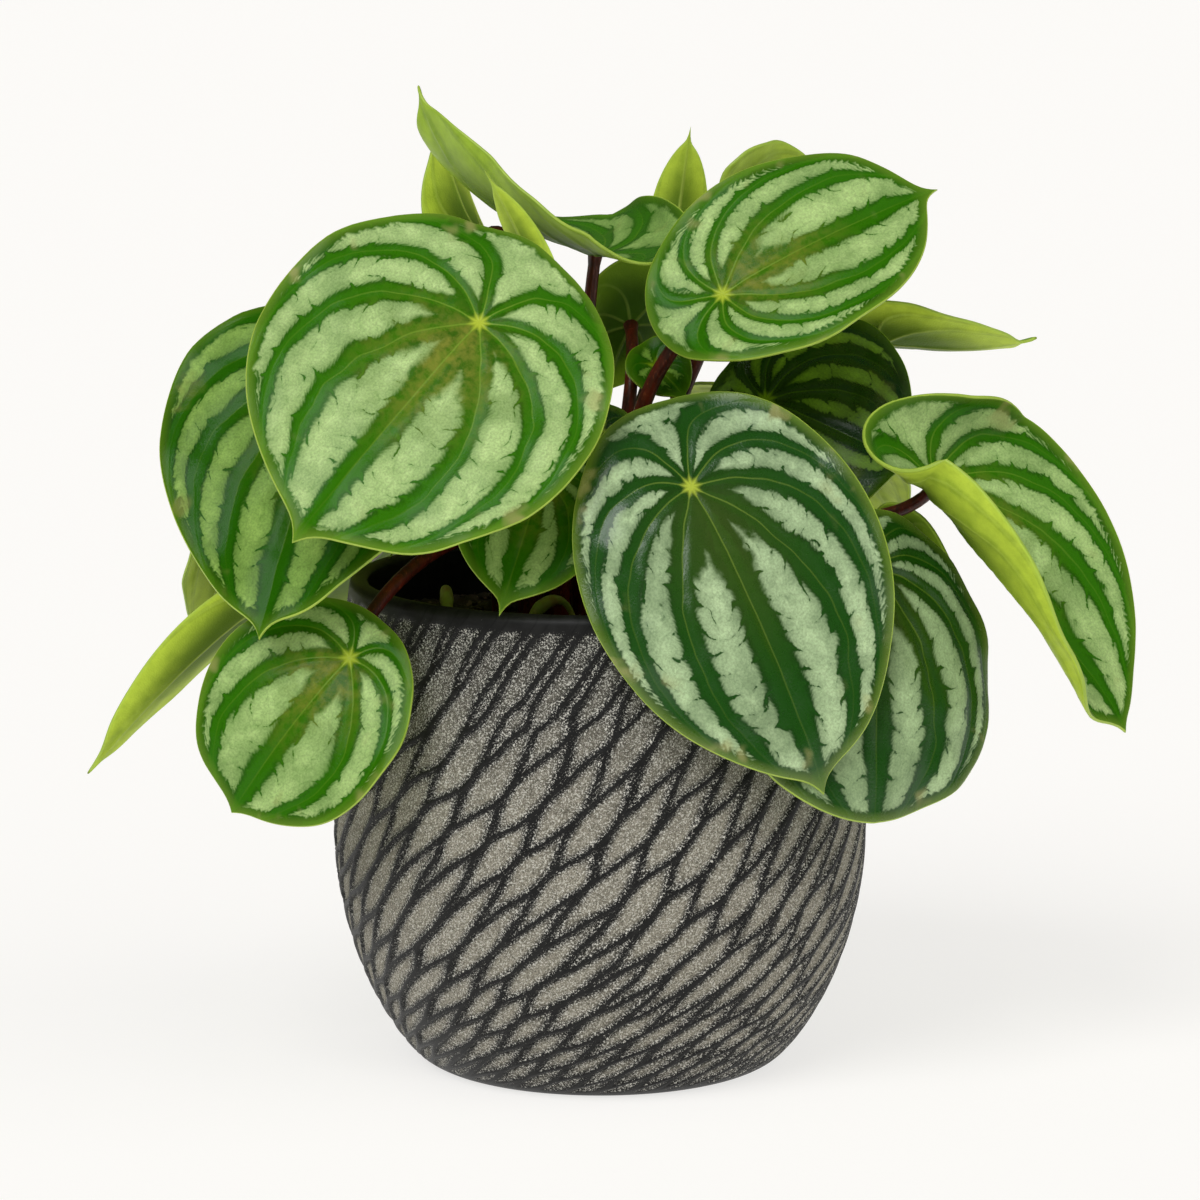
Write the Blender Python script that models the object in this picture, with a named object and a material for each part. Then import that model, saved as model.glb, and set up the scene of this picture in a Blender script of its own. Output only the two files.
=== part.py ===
"""Potted watermelon peperomia: shield-shaped leaves on arching stalks, in a round pot with soil.

Metres, +Z up. The origin is the centre of the pot's flat underside, and the front of the plant is -Y.
Each blade is set by where its stalk joins it, where its tip is and where its upper face looks.
"""
import math
from dataclasses import dataclass

import bmesh
import bpy
from mathutils import Vector

MM = 0.001

# Pot, in millimetres
POT_RADIUS = 70.0  # at the belly
BELLY_HEIGHT = 62.6
FOOT_RADIUS = 45.8
FOOT_ROUNDNESS = 0.77  # exponent of the curve from the foot to the belly
RIM_RADIUS = 65.0
POT_HEIGHT = 128.0
WALL = 4.5
FLOOR = 7.0
INSIDE_FOOT_RADIUS = 47.8
LIP_ROUNDING = 1.5
FOOT_ROUNDING = 4.0
SHELL_HEIGHTS = (16.0, 28.0, 44.0, BELLY_HEIGHT, 85.0, 108.0)  # where the shell's curve is sampled
POT_SIDES = 48
MERGE_DISTANCE = 1e-5  # metres
SMOOTH_ANGLE = 40.0

# Soil
SOIL_LEVEL = 114.0  # where the soil meets the wall
SOIL_DOME = 4.0  # rise of the soil at the middle
GAP = 0.3  # between pieces that touch

# Blades and stalks
BLADE_THICKNESS = 1.2
STALK_FOOT_RADIUS = 2.2
STALK_END_RADIUS = 1.6
STALK_STEPS = 8
STALK_STRAIGHT = 2.0  # length that runs square to the soil and to the blade
BLADE_SPOKES = 16
BLADE_RINGS = 4
DRIP_WIDTH = 0.16  # radians of the outline over which the drip tip is drawn out
DIMPLE = 1.0  # depth of the hollow over the stalk
DIMPLE_RADIUS = 6.0


@dataclass
class Leaf:
    """One leaf. Places are in millimetres and angles in degrees; left is seen from above, towards the tip."""

    name: str
    junction: tuple
    tip: tuple
    faces: tuple  # azimuth and elevation that the upper face looks at
    half_width: float
    back: float  # from the stalk to the rear edge
    root: tuple  # azimuth and distance from the axis of the stalk's foot
    droop: float = 14.0  # fall of the midrib's direction from the stalk to the tip
    nape: float = 16.0  # the same from the stalk to the rear edge
    left: float = 14.0  # turn of the left margin, down is positive
    right: float = 14.0
    twist: float = 0.0  # turn about the midrib by the tip, raising the left side
    twist_back: float = 0.0  # the same by the rear edge, lowering the left side
    egg: float = 0.18  # how much wider the rear half is
    drip: float = 4.0  # length of the drawn-out tip
    point: float = 0.5  # radians of the outline over which the tip narrows; less is blunter
    lift: float = 0.45  # how far the stalk runs straight up from the soil, as a share of its span
    reach: float = 0.38  # how far it runs straight into the blade, as a share of its span
    hang: float = 0.0  # how far it comes down from above the blade, as a share of its span
    tone: str = "bright"


LEAVES = [
    Leaf("leaf_front_left", (-30, -48, 200), (-75, -77, 149), (-93, 24), 47, 28, (225, 14),
         left=-6, right=-4, egg=-0.05, reach=0.2),
    Leaf("leaf_left", (-68, -26, 182), (-85, -62, 122), (-116, 22), 44, 28, (195, 18),
         left=-4, right=-15, droop=8, egg=0.2),
    Leaf("leaf_low_left", (-63, -54, 116), (-93, -54, 76), (-101, 23), 28, 13, (222, 24),
         left=-12, right=-4, droop=28, egg=-0.05, drip=2, point=0.25, lift=0.8, reach=0.1, hang=0.35),
    Leaf("leaf_far_left", (-88, -4, 122), (-133, -20, 79), (140, 35), 11, 14, (182, 26),
         left=-70, right=-20, lift=0.8, reach=0.1, hang=0.2, tone="pale"),
    Leaf("leaf_left_back", (-92, 20, 150), (-107, 24, 104), (150, 15), 25, 16, (165, 20), tone="pale"),
    Leaf("leaf_right_top", (31, -20, 204), (87, 0, 229), (-81, 45), 29, 20, (300, 8),
         left=-12, right=-10, droop=18, egg=-0.04, lift=0.9, reach=0.12),
    Leaf("leaf_front_right", (23, -57, 160), (56, -69, 84), (-66, 25), 41, 25, (290, 22),
         left=-30, right=38, droop=24, egg=0.03, tone="deep"),
    Leaf("leaf_far_right", (87, -22, 156), (134, -38, 94), (-45, 42), 36, 24, (350, 22),
         left=-40, right=-95, nape=-50, twist_back=-40, drip=2.5, point=0.3),
    Leaf("leaf_low_right", (69, -44, 137), (69, -60, 75), (-60, 19), 39, 16, (320, 24),
         left=20, right=8, droop=8, egg=-0.15, drip=0, point=0.1, tone="deep"),
    Leaf("leaf_right", (43, 2, 174), (82, -8, 157), (-77, 23), 33, 15, (340, 14),
         left=9, right=6, droop=9, egg=-0.1, reach=0.15, tone="deep"),
    Leaf("leaf_right_high", (75, 26, 187), (115, 20, 188), (80, 65), 20, 14, (18, 19),
         left=-75, right=-30, droop=-30, lift=0.7, reach=0.15, tone="pale"),
    Leaf("leaf_top", (-1, 12, 212), (-47, 18, 254), (-8, 57), 27, 26, (140, 5),
         left=-30, right=-30, droop=-70, nape=-60, twist=40, twist_back=40, tone="pale"),
    Leaf("leaf_top_left", (-33, 40, 211), (-43, 46, 238), (150, 25), 15, 14, (115, 16),
         left=-40, right=-40, drip=0, reach=0.15, tone="pale"),
    Leaf("leaf_top_inner", (-15, -9, 205), (-29, -9, 234), (60, 20), 6, 10, (195, 13),
         left=-40, right=-40, tone="pale"),
    Leaf("leaf_top_back", (20, 38, 212), (24, 36, 242), (90, 0), 8, 10, (57, 38),
         left=-20, right=-20, reach=0.1, lift=0.7, tone="pale"),
    Leaf("leaf_top_right", (38, 28, 219), (62, 40, 228), (95, 30), 24, 14, (50, 18),
         reach=0.12, lift=0.6),
    Leaf("leaf_inner_top", (8, 20, 192), (0, 30, 169), (100, 10), 14, 19, (70, 9),
         nape=-30, left=-30, right=-30, tone="deep"),
    Leaf("leaf_inner_right", (15, 0, 183), (24, -4, 172), (-60, 30), 9, 8, (10, 9), left=-60),
    Leaf("leaf_inner_left", (0, -18, 169), (1, -28, 154), (-80, 25), 10, 9, (225, 7), tone="deep"),
    Leaf("leaf_front", (-14, -42, 161), (-25, -62, 128), (-95, 25), 22, 11, (238, 20), droop=5, right=10),
    Leaf("leaf_low_right_back", (80, -6, 136), (97, -8, 77), (60, 15), 13, 14, (338, 30), tone="deep"),
    Leaf("leaf_low_inner_left", (-47, -13, 149), (-54, -22, 136), (-95, 35), 14, 8, (212, 20),
         reach=0.15),
    Leaf("leaf_back_left", (-48, 48, 172), (-82, 84, 132), (125, 35), 36, 20, (135, 20)),
    Leaf("leaf_back", (-12, 62, 150), (-14, 98, 96), (92, 30), 36, 22, (95, 20)),
    Leaf("leaf_back_right", (46, 50, 165), (78, 84, 122), (50, 35), 36, 20, (45, 26)),
    Leaf("leaf_low_back_left", (-64, 52, 128), (-92, 74, 84), (140, 25), 28, 16, (145, 26),
         lift=0.8, reach=0.12, hang=0.2),
    Leaf("leaf_low_back_right", (64, 50, 125), (88, 74, 82), (35, 25), 28, 16, (35, 34),
         lift=0.8, reach=0.12, hang=0.2),
    Leaf("leaf_back_high_left", (-24, 48, 190), (-48, 86, 164), (118, 42), 28, 16, (106, 27)),
]


@dataclass
class Sprout:
    """A young leaf still folded: a thin stem that hooks over and ends in a bud."""

    name: str
    foot: tuple  # azimuth and distance from the axis
    bends: float  # azimuth the hook bends towards
    height: float


SPROUTS = [
    Sprout("sprout_left", (216, 49), 275, 15),
    Sprout("sprout_front", (262, 45), 195, 14),
]
# The hook as shares of its height: distance from the foot, height and radius in millimetres
SPROUT_PROFILE = [
    (0.00, 0.00, 0.9), (0.00, 0.35, 0.8), (0.05, 0.70, 0.75), (0.20, 0.95, 0.85),
    (0.42, 1.00, 1.5), (0.65, 0.88, 1.8), (0.80, 0.68, 1.2), (0.86, 0.50, 0.3),
]

LEAF_COLOURS = {
    "bright": (0.20, 0.33, 0.085, 1.0),
    "deep": (0.13, 0.23, 0.070, 1.0),
    "pale": (0.36, 0.42, 0.140, 1.0),
}
STALK_RED = (0.13, 0.030, 0.018, 1.0)
SPROUT_GREEN = (0.26, 0.31, 0.050, 1.0)
POT_CHARCOAL = (0.11, 0.107, 0.098, 1.0)
SOIL_BROWN = (0.012, 0.009, 0.007, 1.0)
LEAF_ROUGHNESS = 0.38
STALK_ROUGHNESS = 0.45
POT_ROUGHNESS = 0.75
SOIL_ROUGHNESS = 0.95


def make_material(name, colour, roughness):
    """A plain surface of one colour."""
    material = bpy.data.materials.new(name)
    material.use_nodes = True
    shader = material.node_tree.nodes["Principled BSDF"]
    shader.inputs["Base Color"].default_value = colour
    shader.inputs["Roughness"].default_value = roughness
    shader.inputs["Metallic"].default_value = 0.0
    return material


def add_object(name, data, material):
    """Put a mesh or curve in the scene with its own material."""
    data.materials.append(material)
    piece = bpy.data.objects.new(name, data)
    bpy.context.scene.collection.objects.link(piece)
    return piece


def pot_outside(height):
    """Outer radius of the pot at a height, both in millimetres."""
    if height < BELLY_HEIGHT:
        rise = 1.0 - (1.0 - height / BELLY_HEIGHT) ** 2
        return FOOT_RADIUS + (POT_RADIUS - FOOT_RADIUS) * rise**FOOT_ROUNDNESS
    over = (height - BELLY_HEIGHT) / (POT_HEIGHT - BELLY_HEIGHT)
    return POT_RADIUS - (POT_RADIUS - RIM_RADIUS) * over**2


def turn(name, profile, material):
    """Spin a closed half-profile of (radius, height) points about +Z; both ends lie on the axis."""
    bm = bmesh.new()
    points = [bm.verts.new((radius * MM, 0.0, height * MM)) for radius, height in profile]
    edges = [bm.edges.new(pair) for pair in zip(points, points[1:])]
    bmesh.ops.spin(bm, geom=points + edges, cent=(0, 0, 0), axis=(0, 0, 1), angle=math.tau,
                   steps=POT_SIDES, use_merge=True)
    bmesh.ops.remove_doubles(bm, verts=bm.verts, dist=MERGE_DISTANCE)
    bmesh.ops.recalc_face_normals(bm, faces=bm.faces)
    mesh = bpy.data.meshes.new(name)
    bm.to_mesh(mesh)
    bm.free()
    mesh.shade_smooth()
    mesh.set_sharp_from_angle(angle=math.radians(SMOOTH_ANGLE))
    return add_object(name, mesh, material)


def make_pot():
    """Round shell with a flat foot, a rounded lip and an open mouth."""
    lip = POT_HEIGHT - LIP_ROUNDING
    profile = [(0.0, 0.0), (FOOT_RADIUS - FOOT_ROUNDING, 0.0)]
    profile += [(pot_outside(height), height) for height in (3.0, 8.0, *SHELL_HEIGHTS, lip)]
    profile += [(RIM_RADIUS - LIP_ROUNDING, POT_HEIGHT), (RIM_RADIUS - WALL + LIP_ROUNDING, POT_HEIGHT)]
    profile += [(pot_outside(height) - WALL, height) for height in (lip, *reversed(SHELL_HEIGHTS))]
    profile += [(INSIDE_FOOT_RADIUS, FLOOR), (0.0, FLOOR)]
    return turn("pot", profile, make_material("pot_charcoal", POT_CHARCOAL, POT_ROUGHNESS))


def soil_top(radius):
    """Height of the soil at a distance from the axis."""
    edge = pot_outside(SOIL_LEVEL) - WALL - GAP
    return SOIL_LEVEL + SOIL_DOME * (1.0 - (radius / edge) ** 2)


def make_soil():
    """Fill of the pot, level near the rim and a little higher round the plant."""
    profile = [(0.0, FLOOR + GAP), (INSIDE_FOOT_RADIUS - 2.0 * GAP, FLOOR + GAP)]
    profile += [(pot_outside(height) - WALL - GAP, height) for height in SHELL_HEIGHTS]
    edge = pot_outside(SOIL_LEVEL) - WALL - GAP
    profile += [(edge * share, soil_top(edge * share)) for share in (1.0, 0.75, 0.5, 0.25, 0.0)]
    return turn("soil", profile, make_material("soil_dark", SOIL_BROWN, SOIL_ROUGHNESS))


def direction(azimuth, elevation):
    """Unit vector for an azimuth from +X towards +Y and an elevation, in degrees."""
    a, e = math.radians(azimuth), math.radians(elevation)
    return Vector((math.cos(a) * math.cos(e), math.sin(a) * math.cos(e), math.sin(e)))


def arc(length, turn_per_mm):
    """End point of an arc that starts level and turns down: (along, fall, angle)."""
    angle = length * turn_per_mm
    if abs(turn_per_mm) < 1e-6:
        return length, 0.0, 0.0
    return math.sin(angle) / turn_per_mm, (1.0 - math.cos(angle)) / turn_per_mm, angle


class Blade:
    """The upper face of one leaf as a function of the leaf's own plane."""

    def __init__(self, leaf):
        self.leaf = leaf
        self.junction = Vector(leaf.junction)
        chord = Vector(leaf.tip) - self.junction
        half_droop = math.radians(leaf.droop) / 2.0
        self.fore = chord.length * (half_droop / math.sin(half_droop) if half_droop else 1.0)
        along = chord.normalized()
        self.side = direction(*leaf.faces).cross(along).normalized()
        up = along.cross(self.side)
        self.forward = along * math.cos(half_droop) + up * math.sin(half_droop)
        self.normal = up * math.cos(half_droop) - along * math.sin(half_droop)

    def outline(self, phi):
        """Margin of the flat blade; phi is 0 at the tip and pi at the rear, positive to the left."""
        leaf = self.leaf
        middle = (self.fore - leaf.drip - leaf.back) / 2.0
        reach = (self.fore - leaf.drip + leaf.back) / 2.0
        x = middle + reach * math.cos(phi) + leaf.drip * math.exp(-((phi / DRIP_WIDTH) ** 2))
        pinch = abs(phi) / math.hypot(phi, leaf.point)
        y = leaf.half_width * math.sin(phi) * (1.0 - leaf.egg * math.cos(phi)) * pinch
        return x, y

    def place(self, x, y):
        """Point of the upper face, in millimetres, for a point of the flat blade."""
        leaf = self.leaf
        curl = math.radians(leaf.left if y > 0 else leaf.right) / leaf.half_width
        across, sag, _ = arc(y, curl)
        if x > 0:
            lean = math.radians(leaf.twist) * x / self.fore
            bend = math.radians(leaf.droop) / self.fore
        else:
            lean = math.radians(leaf.twist_back) * x / leaf.back
            bend = math.radians(leaf.nape) / leaf.back
        across, sag = (across * math.cos(lean) + sag * math.sin(lean),
                       sag * math.cos(lean) - across * math.sin(lean))
        along, fall, angle = arc(x, bend)
        dimple = DIMPLE * math.exp(-(x * x + y * y) / DIMPLE_RADIUS**2)
        along -= sag * math.sin(angle)
        height = -fall - sag * math.cos(angle) - dimple
        return self.junction + self.forward * along + self.side * across + self.normal * height


def make_blade(leaf, material):
    """Closed solid of one blade: rings of points round the stalk, given a thickness downwards."""
    blade = Blade(leaf)
    bm = bmesh.new()
    rings = [[bm.verts.new(blade.place(0.0, 0.0) * MM)]]
    for ring in range(1, BLADE_RINGS + 1):
        share = ring / BLADE_RINGS
        margin = [blade.outline(math.remainder(math.tau * spoke / BLADE_SPOKES, math.tau))
                  for spoke in range(BLADE_SPOKES)]
        rings.append([bm.verts.new(blade.place(x * share, y * share) * MM) for x, y in margin])
    for spoke in range(BLADE_SPOKES):
        after = (spoke + 1) % BLADE_SPOKES
        bm.faces.new((rings[0][0], rings[1][spoke], rings[1][after]))
        for inner, outer in zip(rings[1:], rings[2:]):
            bm.faces.new((inner[spoke], outer[spoke], outer[after], inner[after]))
    mesh = bpy.data.meshes.new(leaf.name)
    bm.to_mesh(mesh)
    bm.free()
    mesh.shade_smooth()
    piece = add_object(leaf.name, mesh, material)
    solidify = piece.modifiers.new("thickness", "SOLIDIFY")
    solidify.thickness = BLADE_THICKNESS * MM
    solidify.offset = -1.0
    return piece


def stalk_path(leaf):
    """Points of the stalk's centre line in millimetres, square to the soil and to the blade at its ends."""
    blade = Blade(leaf)
    azimuth, distance = leaf.root
    foot = direction(azimuth, 0) * distance
    foot.z = soil_top(distance) + GAP
    top = blade.place(0.0, 0.0) - blade.normal * (BLADE_THICKNESS + GAP)
    start = foot + Vector((0, 0, STALK_STRAIGHT))
    end = top - blade.normal * STALK_STRAIGHT
    span = (end - start).length
    rise = start + Vector((0, 0, span * leaf.lift))
    arrive = end - blade.normal * span * leaf.reach + Vector((0, 0, span * leaf.hang))
    path = [foot]
    for step in range(STALK_STEPS + 1):
        t = step / STALK_STEPS
        near, far = (1 - t) ** 2, t * t
        path.append(start * near * (1 - t) + rise * 3 * t * near + arrive * 3 * (1 - t) * far + end * far * t)
    return path + [top]


def make_tube(name, path, radii, material):
    """Round tube along a path, with closed ends; all in millimetres."""
    curve = bpy.data.curves.new(name, "CURVE")
    curve.dimensions = "3D"
    curve.bevel_depth = MM
    curve.bevel_resolution = 1
    curve.use_fill_caps = True
    spline = curve.splines.new("POLY")
    spline.points.add(len(path) - 1)
    for point, place, radius in zip(spline.points, path, radii):
        point.co = (*(place * MM), 1.0)
        point.radius = radius
    return add_object(name, curve, material)


def make_stalk(leaf, material):
    """Round stalk that thins towards the blade."""
    path = stalk_path(leaf)
    radii = [STALK_FOOT_RADIUS + (STALK_END_RADIUS - STALK_FOOT_RADIUS) * index / (len(path) - 1)
             for index in range(len(path))]
    return make_tube("stalk_" + leaf.name.removeprefix("leaf_"), path, radii, material)


def make_sprout(sprout, material):
    """Hooked stem with a bud at its end, standing on the soil."""
    azimuth, distance = sprout.foot
    foot = direction(azimuth, 0) * distance
    foot.z = soil_top(distance) + GAP
    path = [foot + direction(sprout.bends, 0) * out * sprout.height + Vector((0, 0, up * sprout.height))
            for out, up, _ in SPROUT_PROFILE]
    return make_tube(sprout.name, path, [radius for *_, radius in SPROUT_PROFILE], material)


def main():
    for old in list(bpy.data.objects):
        bpy.data.objects.remove(old, do_unlink=True)
    make_pot()
    make_soil()
    for leaf in LEAVES:
        green = LEAF_COLOURS[leaf.tone]
        make_blade(leaf, make_material(leaf.name + "_green", green, LEAF_ROUGHNESS))
        name = "stalk_red_" + leaf.name.removeprefix("leaf_")
        make_stalk(leaf, make_material(name, STALK_RED, STALK_ROUGHNESS))
    for sprout in SPROUTS:
        make_sprout(sprout, make_material(sprout.name + "_green", SPROUT_GREEN, STALK_ROUGHNESS))


main()
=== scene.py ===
"""Potted watermelon peperomia: the looks of the plant and its pot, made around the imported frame.

The file is laid out as an add-on and run as a script. Metres, +Z up; the front of the plant is -Y.
The tables of leaves and sprouts are in millimetres and degrees, as in the construction.
"""

import math
from dataclasses import dataclass
from functools import partial

import bpy
import numpy as np
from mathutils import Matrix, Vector


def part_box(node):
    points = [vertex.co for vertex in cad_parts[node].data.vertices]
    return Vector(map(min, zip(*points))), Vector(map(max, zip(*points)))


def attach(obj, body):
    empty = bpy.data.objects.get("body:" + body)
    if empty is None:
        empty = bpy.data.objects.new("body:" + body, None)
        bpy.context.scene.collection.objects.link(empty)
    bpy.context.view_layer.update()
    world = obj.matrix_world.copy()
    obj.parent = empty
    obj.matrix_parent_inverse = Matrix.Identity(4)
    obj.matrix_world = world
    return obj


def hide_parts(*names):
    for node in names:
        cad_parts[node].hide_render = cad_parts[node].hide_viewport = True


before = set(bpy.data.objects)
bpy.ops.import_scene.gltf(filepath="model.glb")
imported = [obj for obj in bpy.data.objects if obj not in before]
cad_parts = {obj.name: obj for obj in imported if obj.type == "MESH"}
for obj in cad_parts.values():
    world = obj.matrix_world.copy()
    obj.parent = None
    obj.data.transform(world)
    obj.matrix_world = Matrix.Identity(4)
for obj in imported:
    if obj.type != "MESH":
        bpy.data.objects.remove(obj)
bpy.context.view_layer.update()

bl_info = {
    "name": "Potted peperomia",
    "version": (1, 0, 0),
    "blender": (4, 5, 0),
    "location": "3D View > Sidebar > Peperomia",
    "description": "Models the pot, soil, leaves, stalks and sprouts of a watermelon peperomia",
    "category": "Add Mesh",
}

MM = 0.001
TO_MM = 1000.0


def colour(text):
    """Linear colour of an sRGB hex value."""
    channels = [int(text[at:at + 2], 16) / 255.0 for at in (1, 3, 5)]
    return [c / 12.92 if c <= 0.04045 else ((c + 0.055) / 1.055) ** 2.4 for c in channels] + [1.0]


# ---------------------------------------------------------------- the plant's own numbers


@dataclass
class Leaf:
    """One leaf. Places are in millimetres and angles in degrees; left is seen from above, towards the tip."""

    name: str
    junction: tuple
    tip: tuple
    faces: tuple  # azimuth and elevation that the upper face looks at
    half_width: float
    back: float  # from the stalk to the rear edge
    root: tuple  # azimuth and distance from the axis of the stalk's foot
    droop: float = 14.0  # fall of the midrib's direction from the stalk to the tip
    nape: float = 16.0  # the same from the stalk to the rear edge
    left: float = 14.0  # turn of the left margin, down is positive
    right: float = 14.0
    twist: float = 0.0  # turn about the midrib by the tip, raising the left side
    twist_back: float = 0.0  # the same by the rear edge, lowering the left side
    egg: float = 0.18  # how much wider the rear half is
    drip: float = 4.0  # length of the drawn-out tip
    point: float = 0.5  # radians of the outline over which the tip narrows; less is blunter
    lift: float = 0.45  # how far the stalk runs straight up from the soil, as a share of its span
    reach: float = 0.38  # how far it runs straight into the blade, as a share of its span
    hang: float = 0.0  # how far it comes down from above the blade, as a share of its span
    tone: str = "bright"
    # dark stands both for age and for painted shade: leaves that sit in shadow, such as leaf_right, get a
    # high value
    dark: float = 0.0  # how far the skin is darkened and yellowed
    wide: float = 0.0  # how much wider its green bands are, as a share of the gap between veins


LEAVES = [
    Leaf("leaf_front_left", (-30, -48, 200), (-75, -77, 149), (-93, 24), 47, 28, (225, 14),
         left=-6, right=-4, egg=-0.05, reach=0.2),
    Leaf("leaf_left", (-68, -26, 182), (-85, -62, 122), (-116, 22), 44, 28, (195, 18),
         left=-4, right=-15, droop=8, egg=0.2, dark=0.65, wide=0.06),
    Leaf("leaf_low_left", (-63, -54, 116), (-93, -54, 76), (-101, 23), 28, 13, (222, 24),
         left=-12, right=-4, droop=28, egg=-0.05, drip=2, point=0.25, lift=0.8, reach=0.1, hang=0.35,
         dark=0.2, wide=0.02),
    Leaf("leaf_far_left", (-88, -4, 122), (-133, -20, 79), (140, 35), 11, 14, (182, 26),
         left=-70, right=-20, lift=0.8, reach=0.1, hang=0.2, tone="pale"),
    Leaf("leaf_left_back", (-92, 20, 150), (-107, 24, 104), (150, 15), 25, 16, (165, 20), tone="pale"),
    Leaf("leaf_right_top", (31, -20, 204), (87, 0, 229), (-81, 45), 29, 20, (300, 8),
         left=-12, right=-10, droop=18, egg=-0.04, lift=0.9, reach=0.12, dark=0.15, wide=0.02),
    Leaf("leaf_front_right", (23, -57, 160), (56, -69, 84), (-66, 25), 41, 25, (290, 22),
         left=-30, right=38, droop=24, egg=0.03, tone="deep", wide=0.05),
    Leaf("leaf_far_right", (87, -22, 156), (134, -38, 94), (-45, 42), 36, 24, (350, 22),
         left=-40, right=-95, nape=-50, twist_back=-40, drip=2.5, point=0.3, dark=0.15, wide=0.01),
    Leaf("leaf_low_right", (69, -44, 137), (69, -60, 75), (-60, 19), 39, 16, (320, 24),
         left=20, right=8, droop=8, egg=-0.15, drip=0, point=0.1, tone="deep", dark=0.1, wide=0.05),
    # Painted shade: dark=1 darkens leaf_right, which sits in shadow under the leaves above it
    Leaf("leaf_right", (43, 2, 174), (82, -8, 157), (-77, 23), 33, 15, (340, 14),
         left=9, right=6, droop=9, egg=-0.1, reach=0.15, tone="deep", dark=1, wide=0.1),
    Leaf("leaf_right_high", (75, 26, 187), (115, 20, 188), (80, 65), 20, 14, (18, 19),
         left=-75, right=-30, droop=-30, lift=0.7, reach=0.15, tone="pale"),
    Leaf("leaf_top", (-1, 12, 212), (-47, 18, 254), (-8, 57), 27, 26, (140, 5),
         left=-30, right=-30, droop=-70, nape=-60, twist=40, twist_back=40, tone="pale",
         dark=0.6, wide=0.05),
    Leaf("leaf_top_left", (-33, 40, 211), (-43, 46, 238), (150, 25), 15, 14, (115, 16),
         left=-40, right=-40, drip=0, reach=0.15, tone="pale", dark=0.1),
    Leaf("leaf_top_inner", (-15, -9, 205), (-29, -9, 234), (60, 20), 6, 10, (195, 13),
         left=-40, right=-40, tone="pale"),
    Leaf("leaf_top_back", (20, 38, 212), (24, 36, 242), (90, 0), 8, 10, (57, 38),
         left=-20, right=-20, reach=0.1, lift=0.7, tone="pale"),
    Leaf("leaf_top_right", (38, 28, 219), (62, 40, 228), (95, 30), 24, 14, (50, 18),
         reach=0.12, lift=0.6, dark=0.35),
    Leaf("leaf_inner_top", (8, 20, 192), (0, 30, 169), (100, 10), 14, 19, (70, 9),
         nape=-30, left=-30, right=-30, tone="deep", dark=0.45, wide=0.1),
    Leaf("leaf_inner_right", (15, 0, 183), (24, -4, 172), (-60, 30), 9, 8, (10, 9),
         left=-60, dark=0.8, wide=0.1),
    Leaf("leaf_inner_left", (0, -18, 169), (1, -28, 154), (-80, 25), 10, 9, (225, 7),
         tone="deep", dark=0.6, wide=0.1),
    Leaf("leaf_front", (-14, -42, 161), (-25, -62, 128), (-95, 25), 22, 11, (238, 20),
         droop=5, right=10, dark=0.35, wide=0.08),
    Leaf("leaf_low_right_back", (80, -6, 136), (97, -8, 77), (60, 15), 13, 14, (338, 30),
         tone="deep", dark=0.3, wide=0.05),
    Leaf("leaf_low_inner_left", (-47, -13, 149), (-54, -22, 136), (-95, 35), 14, 8, (212, 20),
         reach=0.15, dark=0.6, wide=0.1),
    Leaf("leaf_back_left", (-48, 48, 172), (-82, 84, 132), (125, 35), 36, 20, (135, 20),
         dark=0.1, wide=0.03),
    Leaf("leaf_back", (-12, 62, 150), (-14, 98, 96), (92, 30), 36, 22, (95, 20), dark=0.2, wide=0.05),
    Leaf("leaf_back_right", (46, 50, 165), (78, 84, 122), (50, 35), 36, 20, (45, 26)),
    Leaf("leaf_low_back_left", (-64, 52, 128), (-92, 74, 84), (140, 25), 28, 16, (145, 26),
         lift=0.8, reach=0.12, hang=0.2, dark=0.4, wide=0.06),
    Leaf("leaf_low_back_right", (64, 50, 125), (88, 74, 82), (35, 25), 28, 16, (35, 34),
         lift=0.8, reach=0.12, hang=0.2, dark=0.3, wide=0.05),
    Leaf("leaf_back_high_left", (-24, 48, 190), (-48, 86, 164), (118, 42), 28, 16, (106, 27)),
]


@dataclass
class Sprout:
    """A young leaf still folded: a thin stem that hooks over and ends in a bud."""

    name: str
    foot: tuple  # azimuth and distance from the axis
    bends: float  # azimuth the hook bends towards
    height: float


SPROUTS = [
    Sprout("sprout_left", (216, 49), 275, 15),
    Sprout("sprout_front", (262, 45), 195, 14),
]
# The hook: distance from the foot and height as shares of the sprout's height, and radius in millimetres
SPROUT_PROFILE = [
    (0.00, 0.00, 0.9), (0.00, 0.35, 0.8), (0.05, 0.70, 0.75), (0.20, 0.95, 0.85),
    (0.42, 1.00, 1.5), (0.65, 0.88, 1.8), (0.80, 0.68, 1.2), (0.86, 0.50, 0.3),
]

# Pot and soil, in millimetres
POT_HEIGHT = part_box("pot")[1].z * TO_MM
POT_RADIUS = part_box("pot")[1].x * TO_MM
BELLY_HEIGHT = 62.6
FOOT_RADIUS = 45.8
FOOT_ROUNDNESS = 0.77
RIM_RADIUS = 65.0
WALL = 4.5
FLOOR = 7.0
INSIDE_FOOT_RADIUS = 47.8
LIP_ROUNDING = 1.5
SOIL_LEVEL = 114.0
SOIL_DOME = 4.0


# ---------------------------------------------------------------- settings


def paint(name, text, about):
    """A colour to set."""
    return bpy.props.FloatVectorProperty(name=name, description=about, default=colour(text),
                                         subtype="COLOR", size=4)


def span(name, metres, about):
    """A length to set."""
    return bpy.props.FloatProperty(name=name, description=about, default=metres, unit="LENGTH")


def power(name, strength, about):
    """A light's strength to set."""
    return bpy.props.FloatProperty(name=name, description=about, default=strength, min=0.0)


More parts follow.
